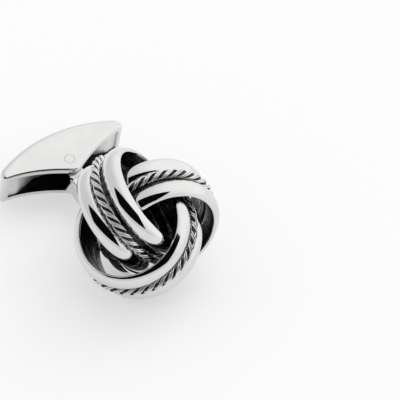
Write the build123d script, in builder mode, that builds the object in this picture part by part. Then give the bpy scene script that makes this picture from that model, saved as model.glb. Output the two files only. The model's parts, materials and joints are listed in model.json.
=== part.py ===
from build123d import *
import os
from math import cos, hypot, radians, sin, sqrt

os.makedirs("parts", exist_ok=True)

# A silver cufflink: a knot of three linked rings on a curved post, with a swivelling toggle.
# It lies on a table: +Z is up, +X runs from the knot to the toggle, and the post curves in XZ.
# Sizes are in millimetres and angles in degrees.

# Knot
ring_count = 3
ring_offset = 1.64
ring_tilt = 46.6
ring_phase = -14.4
knot_lean = 46.0
rail_inner_radius = 5.74
rail_height = 1.11
rail_width = 2.46
rail_flat = 0.12
groove_width = 1.22
groove_clearance = 0.06
rope_centre_radius = 6.66
rope_strands = 4
rope_turns = 10
rope_facets_per_turn = 9

# Post
post_start = 4.3
post_arch_radius = 9.0
post_bend = 58.0
post_straight = 4.25
post_thickness = 1.9
post_height = 2.5
post_root_height = 3.5
post_edge_round = 0.35
tenon_radius = 1.35
tenon_length = 2.4
seat_radius = 3.3
seat_thickness = 0.8
seat_chamfer = 0.35
seat_clearance = 0.03

# Toggle
toggle_length = 16.2
toggle_width = 4.8
toggle_wall = 0.7
toggle_crest = 4.4
toggle_tip_top = 2.3
toggle_tip_bottom = 1.15
toggle_nose_radius = 1.6
nose_spread = 30.0
toggle_tip_round = 1.7
toggle_back_round = 1.2
toggle_rim_round = 0.2

# Pivot
pin_radius = 0.58
pin_clearance = 0.04
eye_side_clearance = 0.1
eye_reach = 1.9
cam_reach = 1.3
cam_round = 0.5

# Leaf spring
spring_thickness = 0.3
spring_width = 2.8
spring_half_length = 5.6
spring_clearance = 0.06

# Sizes that follow from the ones above
rail_centre = groove_width / 2 + rail_width / 2
rail_rise = rail_height - rail_flat
rail_crown_radius = ((rail_width / 2) ** 2 + rail_rise**2) / (2 * rail_rise)
rope_radius = groove_width / 2 - groove_clearance
post_half = post_thickness / 2
toggle_half = toggle_width / 2
inner_half = toggle_half - toggle_wall
eye_half = inner_half - eye_side_clearance


def unit(elevation):
    """A direction in the XZ plane, given by its angle above +X."""
    return Vector(cos(radians(elevation)), 0, sin(radians(elevation)))


# Directions: out of the knot's front, out of its back, along the post's end, across the pin
knot_front = unit(180 - knot_lean)
knot_back = unit(-knot_lean)
knot_side = unit(90 - knot_lean)
post_end = unit(post_bend - knot_lean)
pin_line = unit(post_bend - knot_lean + 90)


def turned_ring(centre, number):
    """The plane of one ring: x to its high side, z along the ring's own axis."""
    knot = Plane(origin=centre, x_dir=(0, -1, 0), z_dir=knot_front)
    turn = Rotation(0, 0, ring_phase + 360 * number / ring_count)
    lift = Location((ring_offset, 0, 0), (ring_tilt, 0, 0))
    return Plane(knot.location * turn * lift)


def ring_reach(number, direction):
    """How far one ring, rails and rope, reaches from the knot's centre along a direction."""
    ring = turned_ring(Vector(0, 0, 0), number)
    along = abs(ring.z_dir.dot(direction))
    across = sqrt(1 - along**2)
    crown_middle = rail_inner_radius + rail_height - rail_crown_radius
    rails = crown_middle * across + rail_centre * along + rail_crown_radius
    rope = rope_centre_radius * across + rope_radius
    return ring.origin.dot(direction) + max(rails, rope)


def knot_reach(direction):
    """How far the whole knot reaches from its centre along a direction."""
    return max(ring_reach(number, direction) for number in range(ring_count))


# Places, with the knot's centre as the first origin
post_root = knot_back * post_start
arch_centre = post_root + knot_side * post_arch_radius
arch_end = arch_centre - pin_line * post_arch_radius
pivot = arch_end + post_end * post_straight

# The table is under the knot, and the middle of the footprint is over the origin
crest_arm = toggle_crest - toggle_back_round
flank_arm = toggle_half - toggle_back_round
right_reach = (
    pivot.X + crest_arm * post_end.X + flank_arm * abs(pin_line.X) + toggle_back_round
)
left_reach = knot_reach(Vector(-1, 0, 0))
near_reach = knot_reach(Vector(0, -1, 0))
far_reach = knot_reach(Vector(0, 1, 0))
knot_centre = Vector(
    (left_reach - right_reach) / 2,
    (near_reach - far_reach) / 2,
    knot_reach(Vector(0, 0, -1)),
)
post_root += knot_centre
arch_centre += knot_centre
arch_end += knot_centre
pivot += knot_centre

# Planes of the post and of the toggle
post_plane = Plane(origin=(0, knot_centre.Y, 0), x_dir=(1, 0, 0), z_dir=(0, -1, 0))
seat_plane = Plane(origin=knot_centre, x_dir=(0, -1, 0), z_dir=knot_back)
toggle_plane = Plane(origin=pivot, x_dir=(0, -1, 0), z_dir=pin_line)
crown_plane = Plane(origin=pivot, x_dir=pin_line, z_dir=(0, 1, 0))


def ring_rail(ring, side):
    """One half-round rail of a ring, on the side of the rope given by +1 or -1."""
    section = Plane(origin=ring.origin, x_dir=ring.x_dir, z_dir=-ring.y_dir)
    middle = side * rail_centre
    low = middle - rail_width / 2
    high = middle + rail_width / 2
    shoulder = rail_inner_radius + rail_flat
    crest = rail_inner_radius + rail_height
    with BuildPart() as rail:
        with BuildSketch(section):
            with BuildLine():
                Polyline(
                    (shoulder, low),
                    (rail_inner_radius, low),
                    (rail_inner_radius, high),
                    (shoulder, high),
                )
                ThreePointArc((shoulder, low), (crest, middle), (shoulder, high))
            make_face()
        revolve(axis=Axis(ring.origin, ring.z_dir))
    return rail.part


def rope_corner(ring, step, corner):
    """One corner of the rope's twisted section, counted along the ring and round the section."""
    steps = rope_turns * rope_facets_per_turn
    place = radians(360 * step / steps)
    twist = radians(360 * step / rope_facets_per_turn + 360 * corner / rope_strands)
    reach = rope_centre_radius + rope_radius * cos(twist)
    return ring.from_local_coords(
        Vector(reach * cos(place), reach * sin(place), rope_radius * sin(twist))
    )


def ring_rope(ring):
    """The twisted rope between two rails, closed round the ring, with flat facets."""
    steps = rope_turns * rope_facets_per_turn
    facets = []
    for step in range(steps):
        for corner in range(rope_strands):
            here = rope_corner(ring, step, corner)
            beside = rope_corner(ring, step, corner + 1)
            ahead = rope_corner(ring, step + 1, corner)
            across = rope_corner(ring, step + 1, corner + 1)
            facets.append(Face(Wire.make_polygon([here, beside, ahead])))
            facets.append(Face(Wire.make_polygon([beside, across, ahead])))
    with BuildPart() as rope:
        add(Solid(Shell(facets)))
    return rope.part


# Each ring is two rails with the rope between them, all three soldered together
for number in range(ring_count):
    ring_plane = turned_ring(knot_centre, number)
    pieces = {
        "front_rail": ring_rail(ring_plane, 1),
        "back_rail": ring_rail(ring_plane, -1),
        "rope": ring_rope(ring_plane),
    }
    for kind, piece in pieces.items():
        piece.label = f"ring_{number + 1}_{kind}"
        export_step(piece, f"parts/{piece.label}.step")


# The seat is the round foot that closes the knot's back, with a hole for the post's tenon
seat_front = knot_reach(knot_back) + seat_clearance
seat_back = seat_front + seat_thickness
with BuildPart() as post_seat:
    with BuildSketch(seat_plane.offset(seat_front)):
        Circle(seat_radius)
        Circle(tenon_radius + seat_clearance, mode=Mode.SUBTRACT)
    extrude(amount=seat_thickness)
    seat_rim = post_seat.edges().filter_by(GeomType.CIRCLE).group_by(SortBy.RADIUS)[-1]
    chamfer(seat_rim.sort_by(Axis(knot_centre, knot_back))[-1], length=seat_chamfer)
post_seat.part.label = "post_seat"
export_step(post_seat.part, "parts/post_seat.step")


def bar_edge(share, side):
    """A point on the bar's inner (-1) or outer (+1) edge, at a share of the bend."""
    height = post_root_height + (post_height - post_root_height) * share
    spoke = unit(90 - knot_lean + post_bend * share)
    place = arch_centre - spoke * (post_arch_radius + side * height / 2)
    return (place.X, place.Z)


def bar_end(side):
    """The corner where the straight end of the bar stops inside the eye."""
    place = pivot - pin_line * (side * post_height / 2)
    return (place.X, place.Z)


# The post is a curved bar, square to the pin at its eye and fixed in the seat by its tenon
with BuildPart() as post:
    with BuildSketch(post_plane):
        with BuildLine():
            outer = ThreePointArc(bar_edge(0, 1), bar_edge(0.5, 1), bar_edge(1, 1))
            inner = ThreePointArc(bar_edge(0, -1), bar_edge(0.5, -1), bar_edge(1, -1))
            Polyline(outer @ 1, bar_end(1), bar_end(-1), inner @ 1)
            Line(inner @ 0, outer @ 0)
        make_face()
    extrude(amount=post_half, both=True)
    sides = post.faces().filter_by(Axis.Y)
    long_edges = sides.edges().filter_by(lambda edge: edge.length > post_root_height)
    fillet(long_edges, radius=post_edge_round)
    split(bisect_by=seat_plane.offset(seat_back), keep=Keep.TOP)
    with BuildSketch(seat_plane.offset(seat_back)):
        Circle(tenon_radius)
    extrude(amount=-tenon_length)
    with BuildSketch(toggle_plane):
        with BuildLine():
            Polyline(
                (-post_half, cam_reach),
                (-post_half, -eye_reach),
                (post_half, -eye_reach),
                (post_half, cam_reach),
                close=True,
            )
        make_face()
    extrude(amount=eye_half, both=True)
    upright_edges = post.edges().filter_by(Axis(pivot, pin_line))
    fillet(upright_edges.sort_by(Axis(pivot, post_end))[-2:], radius=cam_round)
    with BuildSketch(toggle_plane):
        Circle(pin_radius + pin_clearance)
    extrude(amount=toggle_half, both=True, mode=Mode.SUBTRACT)
post.part.label = "post"
export_step(post.part, "parts/post.step")


tip = toggle_length / 2
back_rise = toggle_crest - toggle_tip_top
back_radius = (tip**2 + back_rise**2) / (2 * back_rise)
back_centre = toggle_crest - back_radius
ceiling_radius = back_radius - toggle_wall


def ceiling(place):
    """Height of the hollow's ceiling above the pin, at a distance along the toggle."""
    return back_centre + sqrt(ceiling_radius**2 - place**2)


# The shell is a hollow whale-back bar: two flat cheeks, a crowned back and two end walls
with BuildPart() as toggle_shell:
    with BuildSketch(toggle_plane):
        with BuildLine():
            nose = CenterArc((0, 0), toggle_nose_radius, -90 - nose_spread, 2 * nose_spread)
            for end in (-1, 1):
                start = nose @ ((end + 1) / 2)
                slope = (end * cos(radians(nose_spread)), sin(radians(nose_spread)))
                TangentArc(start, (end * tip, toggle_tip_bottom), tangent=slope)
                Line((end * tip, toggle_tip_bottom), (end * tip, toggle_tip_top))
            ThreePointArc((-tip, toggle_tip_top), (0, toggle_crest), (tip, toggle_tip_top))
        make_face()
    extrude(amount=toggle_half, both=True)
    cross_edges = toggle_shell.edges().filter_by(Axis(pivot, pin_line))
    fillet(cross_edges.group_by(Axis(pivot, post_end))[-1], radius=toggle_tip_round)
    with BuildSketch(crown_plane):
        with Locations((0, toggle_crest)):
            crown = Rectangle(toggle_width, 2 * toggle_crest, align=(Align.CENTER, Align.MAX))
        fillet(crown.vertices().group_by(Axis.Y)[-1], radius=toggle_back_round)
    revolve(axis=Axis(pivot + post_end * back_centre, pin_line), mode=Mode.INTERSECT)
    cheeks = toggle_shell.faces().filter_by(Axis(pivot, pin_line))
    rim = cheeks.edges().filter_by(lambda edge: (edge.center() - pivot).dot(post_end) < toggle_tip_bottom)
    fillet(rim, radius=toggle_rim_round)
    with BuildSketch(toggle_plane):
        with BuildLine():
            hollow_tip = tip - toggle_wall
            left = (-hollow_tip, ceiling(hollow_tip))
            right = (hollow_tip, ceiling(hollow_tip))
            ThreePointArc(left, (0, toggle_crest - toggle_wall), right)
            Polyline(right, (hollow_tip, -toggle_width), (-hollow_tip, -toggle_width), left)
        make_face()
    extrude(amount=inner_half, both=True, mode=Mode.SUBTRACT)
    with BuildSketch(toggle_plane):
        Circle(pin_radius)
    extrude(amount=toggle_half, both=True, mode=Mode.SUBTRACT)
toggle_shell.part.label = "toggle_shell"
export_step(toggle_shell.part, "parts/toggle_shell.step")


# The pin is riveted flush with both cheeks
with BuildPart() as pivot_pin:
    with BuildSketch(toggle_plane):
        Circle(pin_radius)
    extrude(amount=toggle_half, both=True)
pivot_pin.part.label = "pivot_pin"
export_step(pivot_pin.part, "parts/pivot_pin.step")


# The leaf spring bows down from the hollow's ceiling and clears the corners of the post's cam
cam_sweep = hypot(post_half - cam_round, cam_reach - cam_round) + cam_round
spring_low = cam_sweep + spring_clearance
spring_end = ceiling(spring_half_length) - spring_clearance
with BuildPart() as leaf_spring:
    with BuildSketch(toggle_plane):
        with BuildLine():
            under = ThreePointArc(
                (-spring_half_length, spring_end - spring_thickness),
                (0, spring_low),
                (spring_half_length, spring_end - spring_thickness),
            )
            over = ThreePointArc(
                (-spring_half_length, spring_end),
                (0, spring_low + spring_thickness),
                (spring_half_length, spring_end),
            )
            Line(under @ 0, over @ 0)
            Line(under @ 1, over @ 1)
        make_face()
    extrude(amount=spring_width / 2, both=True)
leaf_spring.part.label = "leaf_spring"
export_step(leaf_spring.part, "parts/leaf_spring.step")
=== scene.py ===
import json
from math import acos, atan2, cos, pi, radians, sin, sqrt, tan, tau

import bmesh
import bpy
import numpy as np
from mathutils import Matrix, Vector
from mathutils.geometry import tessellate_polygon


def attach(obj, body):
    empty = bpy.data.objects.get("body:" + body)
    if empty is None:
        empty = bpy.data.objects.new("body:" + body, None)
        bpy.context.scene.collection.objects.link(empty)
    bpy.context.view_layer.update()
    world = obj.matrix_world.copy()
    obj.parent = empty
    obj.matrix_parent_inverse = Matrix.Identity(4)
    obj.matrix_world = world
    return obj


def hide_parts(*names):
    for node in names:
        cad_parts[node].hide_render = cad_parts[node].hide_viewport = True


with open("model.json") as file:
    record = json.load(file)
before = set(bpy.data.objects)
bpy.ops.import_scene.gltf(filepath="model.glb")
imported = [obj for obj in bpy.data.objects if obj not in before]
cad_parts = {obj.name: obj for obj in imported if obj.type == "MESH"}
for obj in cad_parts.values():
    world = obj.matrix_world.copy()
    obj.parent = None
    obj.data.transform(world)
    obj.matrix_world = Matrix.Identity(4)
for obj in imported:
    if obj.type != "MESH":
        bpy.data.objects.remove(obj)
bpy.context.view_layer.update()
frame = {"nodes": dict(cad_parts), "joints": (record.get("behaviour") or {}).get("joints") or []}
nodes = frame["nodes"]
pivot = next(joint for joint in frame["joints"] if joint["name"] == "toggle_pivot")
mm = 0.001
ringNumbers = (1, 2, 3)


def nodePoints(node):
    return np.array([vertex.co[:] for vertex in nodes[node].data.vertices])


def meshPiece(name, points, faces, smooth=True):
    mesh = bpy.data.meshes.new(name)
    mesh.from_pydata([tuple(point) for point in points], [], faces)
    mesh.validate()
    mesh.polygons.foreach_set("use_smooth", [smooth] * len(mesh.polygons))
    piece = bpy.data.objects.new(name, mesh)
    bpy.context.scene.collection.objects.link(piece)
    return piece


def newMaterial(name):
    material = bpy.data.materials.new(name)
    material.use_nodes = True
    tree = material.node_tree
    return material, tree, tree.nodes["Principled BSDF"]


def setSockets(node, values):
    for socket, value in values.items():
        node.inputs[socket].default_value = value


def link(tree, fromNode, output, toNode, socket):
    tree.links.new(fromNode.outputs[output], toNode.inputs[socket])


def mathNode(tree, operation, second=None):
    node = tree.nodes.new("ShaderNodeMath")
    node.operation = operation
    if second is not None:
        node.inputs[1].default_value = second
    return node


grainStyle = {  # how each finish reads its two noises: broad patches of tone, and finer wear
    "patchDetail": 3, "patchLow": 0.35, "patchHigh": 0.65,
    "wearDetail": 6, "wearDistortion": 0.4, "wearLow": 0.3, "wearHigh": 0.7,
}


def noiseField(tree, scale, detail, distortion=0.0):
    place = tree.nodes.new("ShaderNodeTexCoord")
    noise = tree.nodes.new("ShaderNodeTexNoise")
    setSockets(noise, {"Scale": scale, "Detail": detail, "Distortion": distortion})
    link(tree, place, "Object", noise, "Vector")
    return noise


def patchTone(tree, patches, look):
    ramp = tree.nodes.new("ShaderNodeValToRGB")
    darkEnd, lightEnd = ramp.color_ramp.elements
    darkEnd.position = grainStyle["patchLow"]
    darkEnd.color = (*look["dark"], 1)
    lightEnd.position = grainStyle["patchHigh"]
    lightEnd.color = (*look["light"], 1)
    link(tree, patches, "Fac", ramp, "Fac")
    return ramp


def wearGloss(tree, wear, look):
    gloss = tree.nodes.new("ShaderNodeMapRange")
    setSockets(gloss, {
        "From Min": grainStyle["wearLow"], "From Max": grainStyle["wearHigh"],
        "To Min": look["smoothest"], "To Max": look["roughest"],
    })
    link(tree, wear, "Fac", gloss, "Value")
    return gloss


def metalFinish(name, look):
    material, tree, shader = newMaterial(name)
    patches = noiseField(tree, look["patchScale"], grainStyle["patchDetail"])
    wear = noiseField(tree, look["wearScale"], grainStyle["wearDetail"], grainStyle["wearDistortion"])
    bump = tree.nodes.new("ShaderNodeBump")
    setSockets(bump, {"Strength": look["bump"], "Distance": look["bumpDepth"]})
    setSockets(shader, {"Metallic": 1})
    link(tree, patchTone(tree, patches, look), "Color", shader, "Base Color")
    link(tree, wearGloss(tree, wear, look), "Result", shader, "Roughness")
    link(tree, wear, "Fac", bump, "Height")
    link(tree, bump, "Normal", shader, "Normal")
    return material


polishLook = {
    "light": (0.74, 0.737, 0.73), "dark": (0.70, 0.697, 0.69), "patchScale": 300, "wearScale": 900,
    "smoothest": 0.04, "roughest": 0.09, "bump": 0.08, "bumpDepth": 0.01 * mm,
}
insideShadeLook = {  # painted shade: the inside of the rings, the rope's core and the bed under the rope, made black where shade falls
    "light": (0.10, 0.10, 0.10), "dark": (0.02, 0.02, 0.021), "patchScale": 1400, "wearScale": 2600,
    "smoothest": 0.18, "roughest": 0.42, "bump": 0.5, "bumpDepth": 0.05 * mm,
}
cheekShadeLook = {  # painted shade: the inner sides of the toggle, made black where shade falls in the hollow
    "light": (0.035, 0.035, 0.036), "dark": (0.01, 0.01, 0.01), "patchScale": 600, "wearScale": 1500,
    "smoothest": 0.25, "roughest": 0.4, "bump": 0.1, "bumpDepth": 0.01 * mm,
}
hollowShadeLook = {  # the roof and end walls of the toggle's hollow, with painted shade round the pin
    "light": (0.86, 0.86, 0.855), "dark": (0.78, 0.78, 0.775), "patchScale": 500, "wearScale": 1200,
    "smoothest": 0.5, "roughest": 0.62, "bump": 0.1, "bumpDepth": 0.02 * mm,
    # painted shade: the black colour round the pin, and where it fades out
    "middle": (0.02, 0.02, 0.02), "paintedShadeTo": 2.4 * mm, "paintedShadeGoneFrom": 4.4 * mm,
}
wireLook = {
    "light": (0.80, 0.797, 0.79), "dark": (0.64, 0.637, 0.63), "patchScale": 900, "wearScale": 2500,
    "smoothest": 0.05, "roughest": 0.12, "bump": 0.1, "bumpDepth": 0.01 * mm,
}
springLook = {
    "light": (0.75, 0.75, 0.76), "dark": (0.62, 0.62, 0.63), "patchScale": 500, "wearScale": 1500,
    "smoothest": 0.4, "roughest": 0.5, "bump": 0.2, "bumpDepth": 0.01 * mm,
}
mixSockets = {"near": 6, "far": 7, "result": 2}  # the colour sockets of a Mix node


def paintShadeRoundPin(material, look):  # painted shade: the hollow is coloured black round the pin and left bright at its ends
    tree = material.node_tree
    shader = tree.nodes["Principled BSDF"]
    place = tree.nodes.new("ShaderNodeTexCoord")
    split = tree.nodes.new("ShaderNodeSeparateXYZ")
    along = mathNode(tree, "SUBTRACT", pivot["pos_m"][1])
    away = mathNode(tree, "ABSOLUTE")
    share = tree.nodes.new("ShaderNodeMapRange")
    share.interpolation_type = "SMOOTHSTEP"
    setSockets(share, {"From Min": look["paintedShadeTo"], "From Max": look["paintedShadeGoneFrom"]})
    mix = tree.nodes.new("ShaderNodeMix")
    mix.data_type = "RGBA"
    setSockets(mix, {mixSockets["near"]: (*look["middle"], 1)})
    tone = shader.inputs["Base Color"].links[0].from_node
    link(tree, place, "Object", split, "Vector")
    link(tree, split, "Y", along, 0)
    link(tree, along, "Value", away, 0)
    link(tree, away, "Value", share, "Value")
    link(tree, share, "Result", mix, "Factor")
    link(tree, tone, "Color", mix, mixSockets["far"])
    link(tree, mix, mixSockets["result"], shader, "Base Color")


polishedSilver = metalFinish("polishedSilver", polishLook)
paintedShadeInside = metalFinish("paintedShadeInside", insideShadeLook)
cheekPaintedShade = metalFinish("cheekPaintedShade", cheekShadeLook)
hollowSilverPaintedShade = metalFinish("hollowSilverPaintedShade", hollowShadeLook)
paintShadeRoundPin(hollowSilverPaintedShade, hollowShadeLook)
ropeSilver = metalFinish("ropeSilver", wireLook)
springSteel = metalFinish("springSteel", springLook)
print("materials made")


def ringAxes(number):  # a ring's centre and axes, read from its rope and its front rail
    rope = nodePoints(f"ring_{number}_rope")
    front = nodePoints(f"ring_{number}_front_rail")
    centre = rope.mean(0)
    directions = np.linalg.svd(rope - centre, full_matrices=False)[2]
    across, axis = directions[0], directions[2]
    if (front.mean(0) - centre) @ axis < 0:
        axis = -axis
    return {"centre": centre, "across": across, "along": np.cross(axis, across), "axis": axis}


def inRing(ring, points):  # distance from the ring's axis, and height along it
    local = points - ring["centre"]
    height = local @ ring["axis"]
    reach = np.linalg.norm(local - np.outer(height, ring["axis"]), axis=1)
    return reach, height


def onRing(ring, place, reach, height):
    radial = cos(place) * ring["across"] + sin(place) * ring["along"]
    return ring["centre"] + reach * radial + height * ring["axis"]


def turnedMesh(name, ring, section, stepsRound):  # a section turned round the ring's axis
    points = [
        onRing(ring, tau * step / stepsRound, reach, height)
        for step in range(stepsRound)
        for reach, height in section
    ]
    count = len(section)
    faces = []
    for step in range(stepsRound):
        here = step * count
        ahead = (step + 1) % stepsRound * count
        for corner in range(count):
            beside = (corner + 1) % count
            faces.append((here + corner, ahead + corner, ahead + beside, here + beside))
    return meshPiece(name, points, faces)


railStyle = {"stepsRound": 180, "crestSteps": 26, "edgeRound": 0.22 * mm, "edgeSteps": 5}


def railSection(inner, outer, low, high):  # half-round outside, flat inside, with softened inner corners
    edge = railStyle["edgeRound"]
    middle = (low + high) / 2
    half = (high - low) / 2
    rise = outer - inner - edge
    radius = (half * half + rise * rise) / (2 * rise)
    swing = acos((radius - rise) / radius)
    section = []
    for step in range(railStyle["crestSteps"] + 1):
        angle = swing * (2 * step / railStyle["crestSteps"] - 1)
        section.append((outer - radius + radius * cos(angle), middle + radius * sin(angle)))
    for side in (1, -1):
        corner = []
        for step in range(1, railStyle["edgeSteps"] + 1):
            angle = pi / 2 * step / railStyle["edgeSteps"]
            aside = half - edge + edge * cos(angle)
            corner.append((inner + edge - edge * sin(angle), middle + side * aside))
        section += corner if side == 1 else corner[::-1]
    return section


def makeRail(ring, node):
    reach, height = inRing(ring, nodePoints(node))
    section = railSection(reach.min(), reach.max(), height.min(), height.max())
    rail = turnedMesh(f"{node}_finish", ring, section, railStyle["stepsRound"])
    rail.data.materials.append(polishedSilver)
    rail.data.materials.append(paintedShadeInside)
    insideFace = railStyle["crestSteps"] + railStyle["edgeSteps"]  # it lies between the two soft corners
    # painted shade: the rail's flat inner face is coloured black
    for face in rail.data.polygons:
        if face.index % len(section) == insideFace:
            face.material_index = 1
    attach(rail, "knot")
    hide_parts(node)


ropeStyle = {
    "strands": 3, "turns": 11, "hand": 1,  # hand -1 twists the rope the other way
    "wiresPerStrand": 2, "wireSpacing": 0.25 * mm, "wireRadius": 0.102 * mm,
    "thickness": 0.95,  # as a share of the solid rope's
    "sink": 0.06 * mm,
    "stepsPerTurn": 26, "wireSides": 8, "coreShare": 0.5, "coreSteps": 120,
}


def addTube(points, faces, line, radius):  # a closed tube round a closed line
    start = len(points)
    count = len(line)
    sides = ropeStyle["wireSides"]
    for step, point in enumerate(line):
        ahead = line[(step + 1) % count] - line[step - 1]
        ahead = ahead / np.linalg.norm(ahead)
        away = point - line.mean(0)
        side = away - (away @ ahead) * ahead
        side = side / np.linalg.norm(side)
        up = np.cross(ahead, side)
        for corner in range(sides):
            turn = tau * corner / sides
            points.append(point + radius * (cos(turn) * side + sin(turn) * up))
    for step in range(count):
        here = start + step * sides
        beyond = start + (step + 1) % count * sides
        for corner in range(sides):
            beside = (corner + 1) % sides
            faces.append((here + corner, here + beside, beyond + beside, beyond + corner))


def wireLine(ring, middle, orbit, start):  # one wire, wound round the rope's own circle
    steps = ropeStyle["turns"] * ropeStyle["stepsPerTurn"]
    line = []
    for step in range(steps):
        place = tau * step / steps
        twist = ropeStyle["hand"] * ropeStyle["turns"] * place + start
        line.append(onRing(ring, place, middle + orbit * cos(twist), orbit * sin(twist)))
    return np.array(line)


def makeRope(ring, node):
    reach = inRing(ring, nodePoints(node))[0]
    middle = (reach.max() + reach.min()) / 2 - ropeStyle["sink"]
    orbit = ropeStyle["thickness"] * (reach.max() - reach.min()) / 2 - ropeStyle["wireRadius"]
    lean = ropeStyle["wireSpacing"] / orbit
    wires = ropeStyle["wiresPerStrand"]
    points, faces = [], []
    for strand in range(ropeStyle["strands"]):
        for wire in range(wires):
            start = tau * strand / ropeStyle["strands"] + (wire - (wires - 1) / 2) * lean
            addTube(points, faces, wireLine(ring, middle, orbit, start), ropeStyle["wireRadius"])
    wireFaces = len(faces)
    # painted shade: a dark core tube under the wires
    places = [tau * step / ropeStyle["coreSteps"] for step in range(ropeStyle["coreSteps"])]
    core = np.array([onRing(ring, place, middle, 0) for place in places])
    addTube(points, faces, core, ropeStyle["coreShare"] * orbit)
    rope = meshPiece(f"{node}_wires", points, faces)
    rope.data.materials.append(ropeSilver)
    rope.data.materials.append(paintedShadeInside)
    for face in rope.data.polygons:
        face.material_index = int(face.index >= wireFaces)  # painted shade: the core between the wires is dark
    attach(rope, "knot")
    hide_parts(node)


shadeBedStyle = {"under": 0.06 * mm, "thickness": 0.22 * mm, "stepsRound": 140}


def makeShadeBed(ring, number):  # painted shade: a dark bed that fills the bottom of the groove under the rope
    reach, frontHeight = inRing(ring, nodePoints(f"ring_{number}_front_rail"))
    backHeight = inRing(ring, nodePoints(f"ring_{number}_back_rail"))[1]
    low, high = backHeight.max(), frontHeight.min()
    under = shadeBedStyle["under"]
    inner = reach.min() + under
    outer = inner + shadeBedStyle["thickness"]
    section = [(outer, low), (outer - under, (low + high) / 2), (outer, high), (inner, high), (inner, low)]
    bed = turnedMesh(f"ring_{number}_shade_bed", ring, section, shadeBedStyle["stepsRound"])
    bed.data.materials.append(paintedShadeInside)
    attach(bed, "knot")


for number in ringNumbers:
    ring = ringAxes(number)
    makeShadeBed(ring, number)
    makeRail(ring, f"ring_{number}_front_rail")
    makeRail(ring, f"ring_{number}_back_rail")
    makeRope(ring, f"ring_{number}_rope")
print("knot made")


toggleStyle = {
    "wall": 0.7 * mm, "crestDrop": 0.09 * mm,  # how far the back stays under the solid's
    "tipTop": 2.3 * mm, "tipBottom": 1.03 * mm,  # the tips' height, from the pin's middle
    "tipSlope": 0.1, "noseSpread": 30,  # the rim's slope at the tip, and the nose's half angle in degrees
    "tipRound": 1.4 * mm, "cornerRound": 0.4 * mm,  # the outline's corners, as seen along the pin
    "backRound": 0.75 * mm, "rimRound": 0.38 * mm,  # the cheeks' edges
    "tipZone": 0.1 * mm, "cheekBorder": 0.06 * mm,  # the tips' rounding starts this far inside the end wall
    "innerRound": 0.08 * mm, "innerBend": 0.3,  # the hollow's own edge
    "roofRidge": 2.96 * mm, "roofSlope": 0.31, "endStep": 0.25 * mm,  # the hollow's sloping roof
    "postRoom": 1.0 * mm,  # how far the roof stays from the pin's middle, so that the post swings free
    "pinGap": 0.03 * mm, "pinSteps": 48, "roundSteps": 6, "noseSteps": 6, "rimSteps": 25,
    "wallSteps": 2, "cornerSteps": 5, "tipSteps": 14, "backSteps": 30, "sharpFrom": 40,
}
pinLine = np.array(pivot["axis"]) / np.linalg.norm(pivot["axis"])
barLine = np.array((0.0, -1.0, 0.0))
toggleTurn = np.array([barLine, np.cross(pinLine, barLine), pinLine])  # along, towards the back, across


def inToggle(node):
    return (nodePoints(node) - pivot["pos_m"]) @ toggleTurn.T


def fromToggle(points):
    return np.array(pivot["pos_m"]) + np.array(points) @ toggleTurn


def arcPoints(centre, radius, start, end, steps):
    angles = [start + (end - start) * step / steps for step in range(steps + 1)]
    return [(centre[0] + radius * cos(angle), centre[1] + radius * sin(angle)) for angle in angles]


def toggleSizes():  # measured from the pin's middle, on the solids of the bar and the pin
    solid = inToggle("toggle_shell")
    tip, crest, half = solid.max(0)
    crest -= toggleStyle["crestDrop"]
    rise = crest - toggleStyle["tipTop"]
    backRadius = (tip**2 + rise**2) / (2 * rise)
    backCentre = crest - backRadius
    roundAcross = tip - toggleStyle["tipRound"]
    roundUp = backCentre + sqrt((backRadius - toggleStyle["tipRound"]) ** 2 - roundAcross**2)
    return {
        "tip": tip, "crest": crest, "half": half, "inner": half - toggleStyle["wall"],
        "nose": -solid[:, 1].min(), "hollowTip": tip - toggleStyle["wall"],
        "backRadius": backRadius, "backCentre": backCentre, "tipCentre": (roundAcross, roundUp),
        "hole": inToggle("pivot_pin")[:, 0].max() + toggleStyle["pinGap"],
    }


def rimLine(bar):  # the lower edge of half the bar: round the nose, then one smooth curve out to the tip
    noseEnd = radians(toggleStyle["noseSpread"] - 90)
    line = arcPoints((0, 0), bar["nose"], -pi / 2, noseEnd, toggleStyle["noseSteps"])
    start = line[-1]
    end = (bar["tip"] - toggleStyle["cornerRound"], toggleStyle["tipBottom"])
    reach = end[0] - start[0]
    startRise = reach * tan(radians(toggleStyle["noseSpread"]))
    endRise = reach * toggleStyle["tipSlope"]
    overHollow = np.linspace(start[0], bar["hollowTip"], toggleStyle["rimSteps"] + 1)[1:]
    underWall = np.linspace(bar["hollowTip"], end[0], toggleStyle["wallSteps"] + 1)[1:]
    for place in (*overHollow, *underWall):
        share = (place - start[0]) / reach
        rest = 1 - share
        height = (1 + 2 * share) * rest**2 * start[1] + share * rest**2 * startRise
        height += share**2 * (3 - 2 * share) * end[1] - share**2 * rest * endRise
        line.append((place, height))
    return line


def toggleOutline(bar):  # rim, corner, tip and back of half the bar, then the same mirrored
    corner = toggleStyle["cornerRound"]
    cornerCentre = (bar["tip"] - corner, toggleStyle["tipBottom"] + corner)
    backCentre = (0, bar["backCentre"])
    tangent = atan2(bar["tipCentre"][1] - bar["backCentre"], bar["tipCentre"][0])
    half = rimLine(bar)
    half += arcPoints(cornerCentre, corner, -pi / 2, 0, toggleStyle["cornerSteps"])[1:]
    half += arcPoints(bar["tipCentre"], toggleStyle["tipRound"], 0, tangent, toggleStyle["tipSteps"])
    half += arcPoints(backCentre, bar["backRadius"], tangent, pi / 2, toggleStyle["backSteps"])[1:]
    return np.array(half + [(-along, up) for along, up in half[-2:0:-1]])


def outwardNormals(outline):
    ahead = np.roll(outline, -1, 0) - np.roll(outline, 1, 0)
    normals = np.column_stack([ahead[:, 1], -ahead[:, 0]])
    return normals / np.linalg.norm(normals, axis=1)[:, None]


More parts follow.
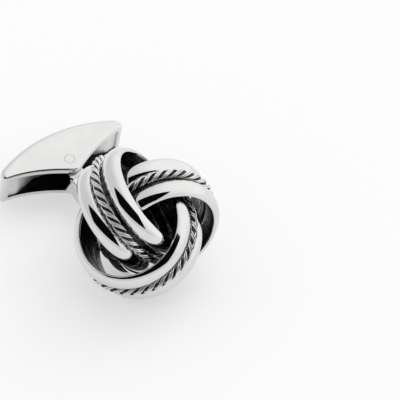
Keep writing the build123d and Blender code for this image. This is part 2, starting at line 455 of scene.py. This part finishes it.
def edgeRounds(bar, outline):  # small rounds along the rim, which grow up the tips to the back's
    low = toggleStyle["tipBottom"] + toggleStyle["cornerRound"]
    high = bar["tipCentre"][1] + toggleStyle["tipRound"]
    atTip = np.abs(outline[:, 0]) > bar["hollowTip"] - toggleStyle["tipZone"]
    onBack = outline[:, 1] > bar["crest"] / 2
    grow = np.clip(np.where(atTip, (outline[:, 1] - low) / (high - low), onBack), 0, 1)
    more = toggleStyle["backRound"] - toggleStyle["rimRound"]
    return toggleStyle["rimRound"] + more * grow**2 * (3 - 2 * grow)


def hollowRoof(bar, rim):  # under the back's arch, sloping down to the end walls
    arched = bar["backCentre"] + np.sqrt((bar["backRadius"] - toggleStyle["wall"]) ** 2 - rim[:, 0] ** 2)
    sloped = toggleStyle["roofRidge"] - toggleStyle["roofSlope"] * np.abs(rim[:, 0])
    lowest = np.maximum(rim[:, 1] + toggleStyle["endStep"], toggleStyle["postRoom"])
    return np.column_stack([rim[:, 0], np.minimum(arched, np.maximum(sloped, lowest))])


def addLoop(shell, flat, height):  # height is the place along the pin
    start = len(shell["points"])
    shell["points"].extend(np.column_stack([flat, np.broadcast_to(height, len(flat))]))
    return list(range(start, len(shell["points"])))


def bridge(faces, first, second, closed=True):  # a band of faces between two loops
    for number in range(len(first) if closed else len(first) - 1):
        beside = (number + 1) % len(first)
        faces.append((first[number], first[beside], second[beside], second[number]))


def fillAround(shell, faces, loop, hole):  # a flat face from a loop to the hole in it
    corners = [[Vector(shell["points"][number]) for number in part] for part in (loop, hole)]
    order = loop + hole
    faces.extend(tuple(order[number] for number in face) for face in tessellate_polygon(corners))


def makeCheek(shell, bar, outline, stations, side):  # one side of the bar, its edge and its half of the rim
    normals = outwardNormals(outline)
    rounds = edgeRounds(bar, outline)
    border = outline - normals * (rounds + toggleStyle["cheekBorder"])[:, None]
    loops = [addLoop(shell, border, side * bar["half"])]
    for step in range(toggleStyle["roundSteps"] + 1):
        angle = pi / 2 * step / toggleStyle["roundSteps"]
        inset = outline - normals * (rounds * (1 - sin(angle)))[:, None]
        loops.append(addLoop(shell, inset, side * (bar["half"] - rounds * (1 - cos(angle)))))
    for first, second in zip(loops, loops[1:]):
        bridge(shell["outside"], first, second)

    holeLine = arcPoints((0, 0), bar["hole"], 0, tau, toggleStyle["pinSteps"])[:-1]
    hole = addLoop(shell, holeLine, side * bar["half"])
    innerHole = addLoop(shell, holeLine, side * bar["inner"])
    fillAround(shell, shell["outside"], loops[0], hole)
    bridge(shell["cheeks"], hole, innerHole)

    rim = outline[stations]
    soft = toggleStyle["innerRound"]
    bendIn = toggleStyle["innerBend"] * soft
    lip = addLoop(shell, rim, side * (bar["inner"] + soft))
    bend = addLoop(shell, rim + (0, bendIn), side * (bar["inner"] + bendIn))
    inside = addLoop(shell, rim + (0, soft), side * bar["inner"])
    roof = addLoop(shell, hollowRoof(bar, rim), side * bar["inner"])
    bridge(shell["outside"], lip, bend, closed=False)
    bridge(shell["outside"], bend, inside, closed=False)
    bridge(shell["outside"], [loops[-1][number] for number in stations], lip, closed=False)
    fillAround(shell, shell["cheeks"], inside + roof[::-1], innerHole)
    return {"edge": loops[-1], "lip": lip, "bend": bend, "inside": inside, "roof": roof}


def joinCheeks(shell, near, far, stations):  # the roof, the end walls, and the bar's back and tips
    bridge(shell["hollow"], near["roof"], far["roof"], closed=False)
    for end in (0, -1):
        endWall = [near[name][end] for name in ("lip", "bend", "inside", "roof")]
        endWall += [far[name][end] for name in ("roof", "inside", "bend", "lip")]
        shell["hollow"].append(tuple(endWall))
    count = len(near["edge"])
    for number in range(count):
        beside = (number + 1) % count
        if number in stations and beside in stations:
            continue
        crossing = [near["edge"][number], near["edge"][beside], far["edge"][beside], far["edge"][number]]
        if number in stations:  # the hollow's corner at one end of the rim
            end = stations.index(number)
            crossing += [far["lip"][end], near["lip"][end]]
        if beside in stations:
            end = stations.index(beside)
            crossing[2:2] = [near["lip"][end], far["lip"][end]]
        shell["outside"].append(tuple(crossing))


def tidyNormals(piece):  # faces turned outwards, and only real edges kept sharp
    build = bmesh.new()
    build.from_mesh(piece.data)
    bmesh.ops.recalc_face_normals(build, faces=build.faces)
    build.to_mesh(piece.data)
    build.free()
    piece.data.set_sharp_from_angle(angle=radians(toggleStyle["sharpFrom"]))


def makeToggle():
    bar = toggleSizes()
    outline = toggleOutline(bar)
    rimCount = toggleStyle["noseSteps"] + 1 + toggleStyle["rimSteps"]  # from the nose to the end wall
    stations = [len(outline) - number for number in range(rimCount - 1, 0, -1)] + list(range(rimCount))
    shell = {"points": [], "outside": [], "cheeks": [], "hollow": []}
    near, far = [makeCheek(shell, bar, outline, stations, side) for side in (1, -1)]
    joinCheeks(shell, near, far, stations)

    groups = [shell["outside"], shell["cheeks"], shell["hollow"]]
    toggle = meshPiece("toggle_shell_finish", fromToggle(shell["points"]), sum(groups, []))
    for material in (polishedSilver, cheekPaintedShade, hollowSilverPaintedShade):
        toggle.data.materials.append(material)
    finishes = np.repeat(range(len(groups)), [len(group) for group in groups])
    toggle.data.polygons.foreach_set("material_index", finishes)
    tidyNormals(toggle)
    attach(toggle, "toggle")
    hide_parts("toggle_shell")


def finishNode(node, material):
    piece = nodes[node]
    piece.data.materials.clear()
    piece.data.materials.append(material)


makeToggle()
for node in ("post_seat", "post", "pivot_pin"):
    finishNode(node, polishedSilver)
finishNode("leaf_spring", springSteel)
print("post and toggle made")

ropeCentre = Vector(np.concatenate([nodePoints(f"ring_{number}_rope") for number in ringNumbers]).mean(0))
upward = Vector((0, 0, 1))
floorStyle = {"colour": (0.5, 0.5, 0.5), "roughness": 0.6, "shine": 0.1, "reach": 0.6, "lift": 0.45}


def makeFloor():
    reach = floorStyle["reach"]
    corners = [(-reach, -reach, 0), (reach, -reach, 0), (reach, reach, 0), (-reach, reach, 0)]
    floor = meshPiece("floor", corners, [(0, 1, 2, 3)], smooth=False)
    material, tree, shader = newMaterial("paleFloor")
    setSockets(shader, {
        "Base Color": (*floorStyle["colour"], 1), "Roughness": floorStyle["roughness"],
        "Specular IOR Level": floorStyle["shine"], "Emission Color": (1, 1, 1, 1),
    })
    path = tree.nodes.new("ShaderNodeLightPath")
    seen = mathNode(tree, "MAXIMUM")  # the floor lifts to white where it is looked at or mirrored
    lift = mathNode(tree, "MULTIPLY", floorStyle["lift"])
    link(tree, path, "Is Camera Ray", seen, 0)
    link(tree, path, "Is Glossy Ray", seen, 1)
    link(tree, seen, "Value", lift, 0)
    link(tree, lift, "Value", shader, "Emission Strength")
    floor.data.materials.append(material)


skyStyle = {
    "level": 0.80, "bright": 1.15, "brightSide": (-0.1, -0.9, 0.45),
    "brightFrom": 0.1, "brightTo": 0.85,  # cosines of the angle from the bright side
}


def makeSky():
    world = bpy.data.worlds.new("studioSky")
    bpy.context.scene.world = world
    world.use_nodes = True
    tree = world.node_tree
    background = tree.nodes["Background"]
    place = tree.nodes.new("ShaderNodeTexCoord")
    toward = tree.nodes.new("ShaderNodeVectorMath")
    toward.operation = "DOT_PRODUCT"
    level = tree.nodes.new("ShaderNodeMapRange")
    level.interpolation_type = "SMOOTHSTEP"
    setSockets(toward, {1: Vector(skyStyle["brightSide"]).normalized()})
    setSockets(level, {
        "From Min": skyStyle["brightFrom"], "From Max": skyStyle["brightTo"],
        "To Min": skyStyle["level"], "To Max": skyStyle["bright"],
    })
    setSockets(background, {"Color": (1, 1, 1, 1)})
    link(tree, place, "Generated", toward, 0)
    link(tree, toward, "Value", level, "Value")
    link(tree, level, "Result", background, "Strength")


cardStyle = {
    "azimuth": 130, "height": 46, "distance": 0.55,  # degrees, and metres from the knot
    "halfWidth": 0.605, "halfDepth": 0.3025, "colour": (0.002, 0.002, 0.002),
}


def makeCard():  # a black card behind the camera, a little to its side, which the silver mirrors
    azimuth = radians(cardStyle["azimuth"])
    height = radians(cardStyle["height"])
    away = Vector((cos(azimuth) * cos(height), sin(azimuth) * cos(height), sin(height)))
    side = upward.cross(away).normalized()
    middle = ropeCentre + away * cardStyle["distance"]
    wide = side * cardStyle["halfWidth"]
    deep = away.cross(side) * cardStyle["halfDepth"]
    corners = [middle - wide - deep, middle + wide - deep, middle + wide + deep, middle - wide + deep]
    card = meshPiece("blackCard", corners, [(0, 1, 2, 3)], smooth=False)
    material, tree, shader = newMaterial("blackCard")
    setSockets(shader, {"Base Color": (*cardStyle["colour"], 1), "Roughness": 1, "Specular IOR Level": 0})
    card.data.materials.append(material)
    card.visible_camera = False
    card.visible_diffuse = False
    card.visible_shadow = False


lampStyle = {"side": (0.2, -0.75, 0.8), "distance": 0.7, "size": 0.5, "power": 0.8}


def makeLamp():
    lamp = bpy.data.lights.new("softLamp", "AREA")
    lamp.size = lampStyle["size"]
    lamp.energy = lampStyle["power"]
    lampObject = bpy.data.objects.new("softLamp", lamp)
    bpy.context.scene.collection.objects.link(lampObject)
    away = Vector(lampStyle["side"]).normalized()
    lampObject.location = ropeCentre + away * lampStyle["distance"]
    lampObject.rotation_euler = away.to_track_quat("Z", "Y").to_euler()
    lampObject.visible_glossy = False


makeFloor()
makeSky()
makeCard()
makeLamp()
print("studio made")

photo = {"size": 400, "knotAcross": 142.4, "knotDown": 221.2, "pixelsPerMm": 9.0}  # the ropes' middle
cameraStyle = {"toCamera": (-0.586, 0.391, 0.709), "distance": 340 * mm, "sensor": 36, "nearest": 10 * mm}


def makeCamera():
    back = Vector(cameraStyle["toCamera"]).normalized()
    right = upward.cross(back).normalized()
    up = back.cross(right)
    place = ropeCentre + back * cameraStyle["distance"]
    aside = (photo["size"] / 2 - photo["knotAcross"]) / photo["pixelsPerMm"] * mm
    above = (photo["knotDown"] - photo["size"] / 2) / photo["pixelsPerMm"] * mm
    aim = ropeCentre + right * aside + up * above
    sight = (place - aim).normalized()
    level = (right - right.dot(sight) * sight).normalized()
    turn = Matrix((level, sight.cross(level), sight)).transposed()
    focalPixels = photo["pixelsPerMm"] * cameraStyle["distance"] / mm
    camera = bpy.data.cameras.new("camera")
    camera.sensor_width = cameraStyle["sensor"]
    camera.lens = focalPixels / photo["size"] * cameraStyle["sensor"]
    camera.clip_start = cameraStyle["nearest"]
    cameraObject = bpy.data.objects.new("camera", camera)
    bpy.context.scene.collection.objects.link(cameraObject)
    cameraObject.matrix_world = Matrix.Translation(place) @ turn.to_4x4()
    bpy.context.scene.camera = cameraObject
    bpy.context.scene.view_settings.view_transform = "Standard"


makeCamera()
print("camera set")
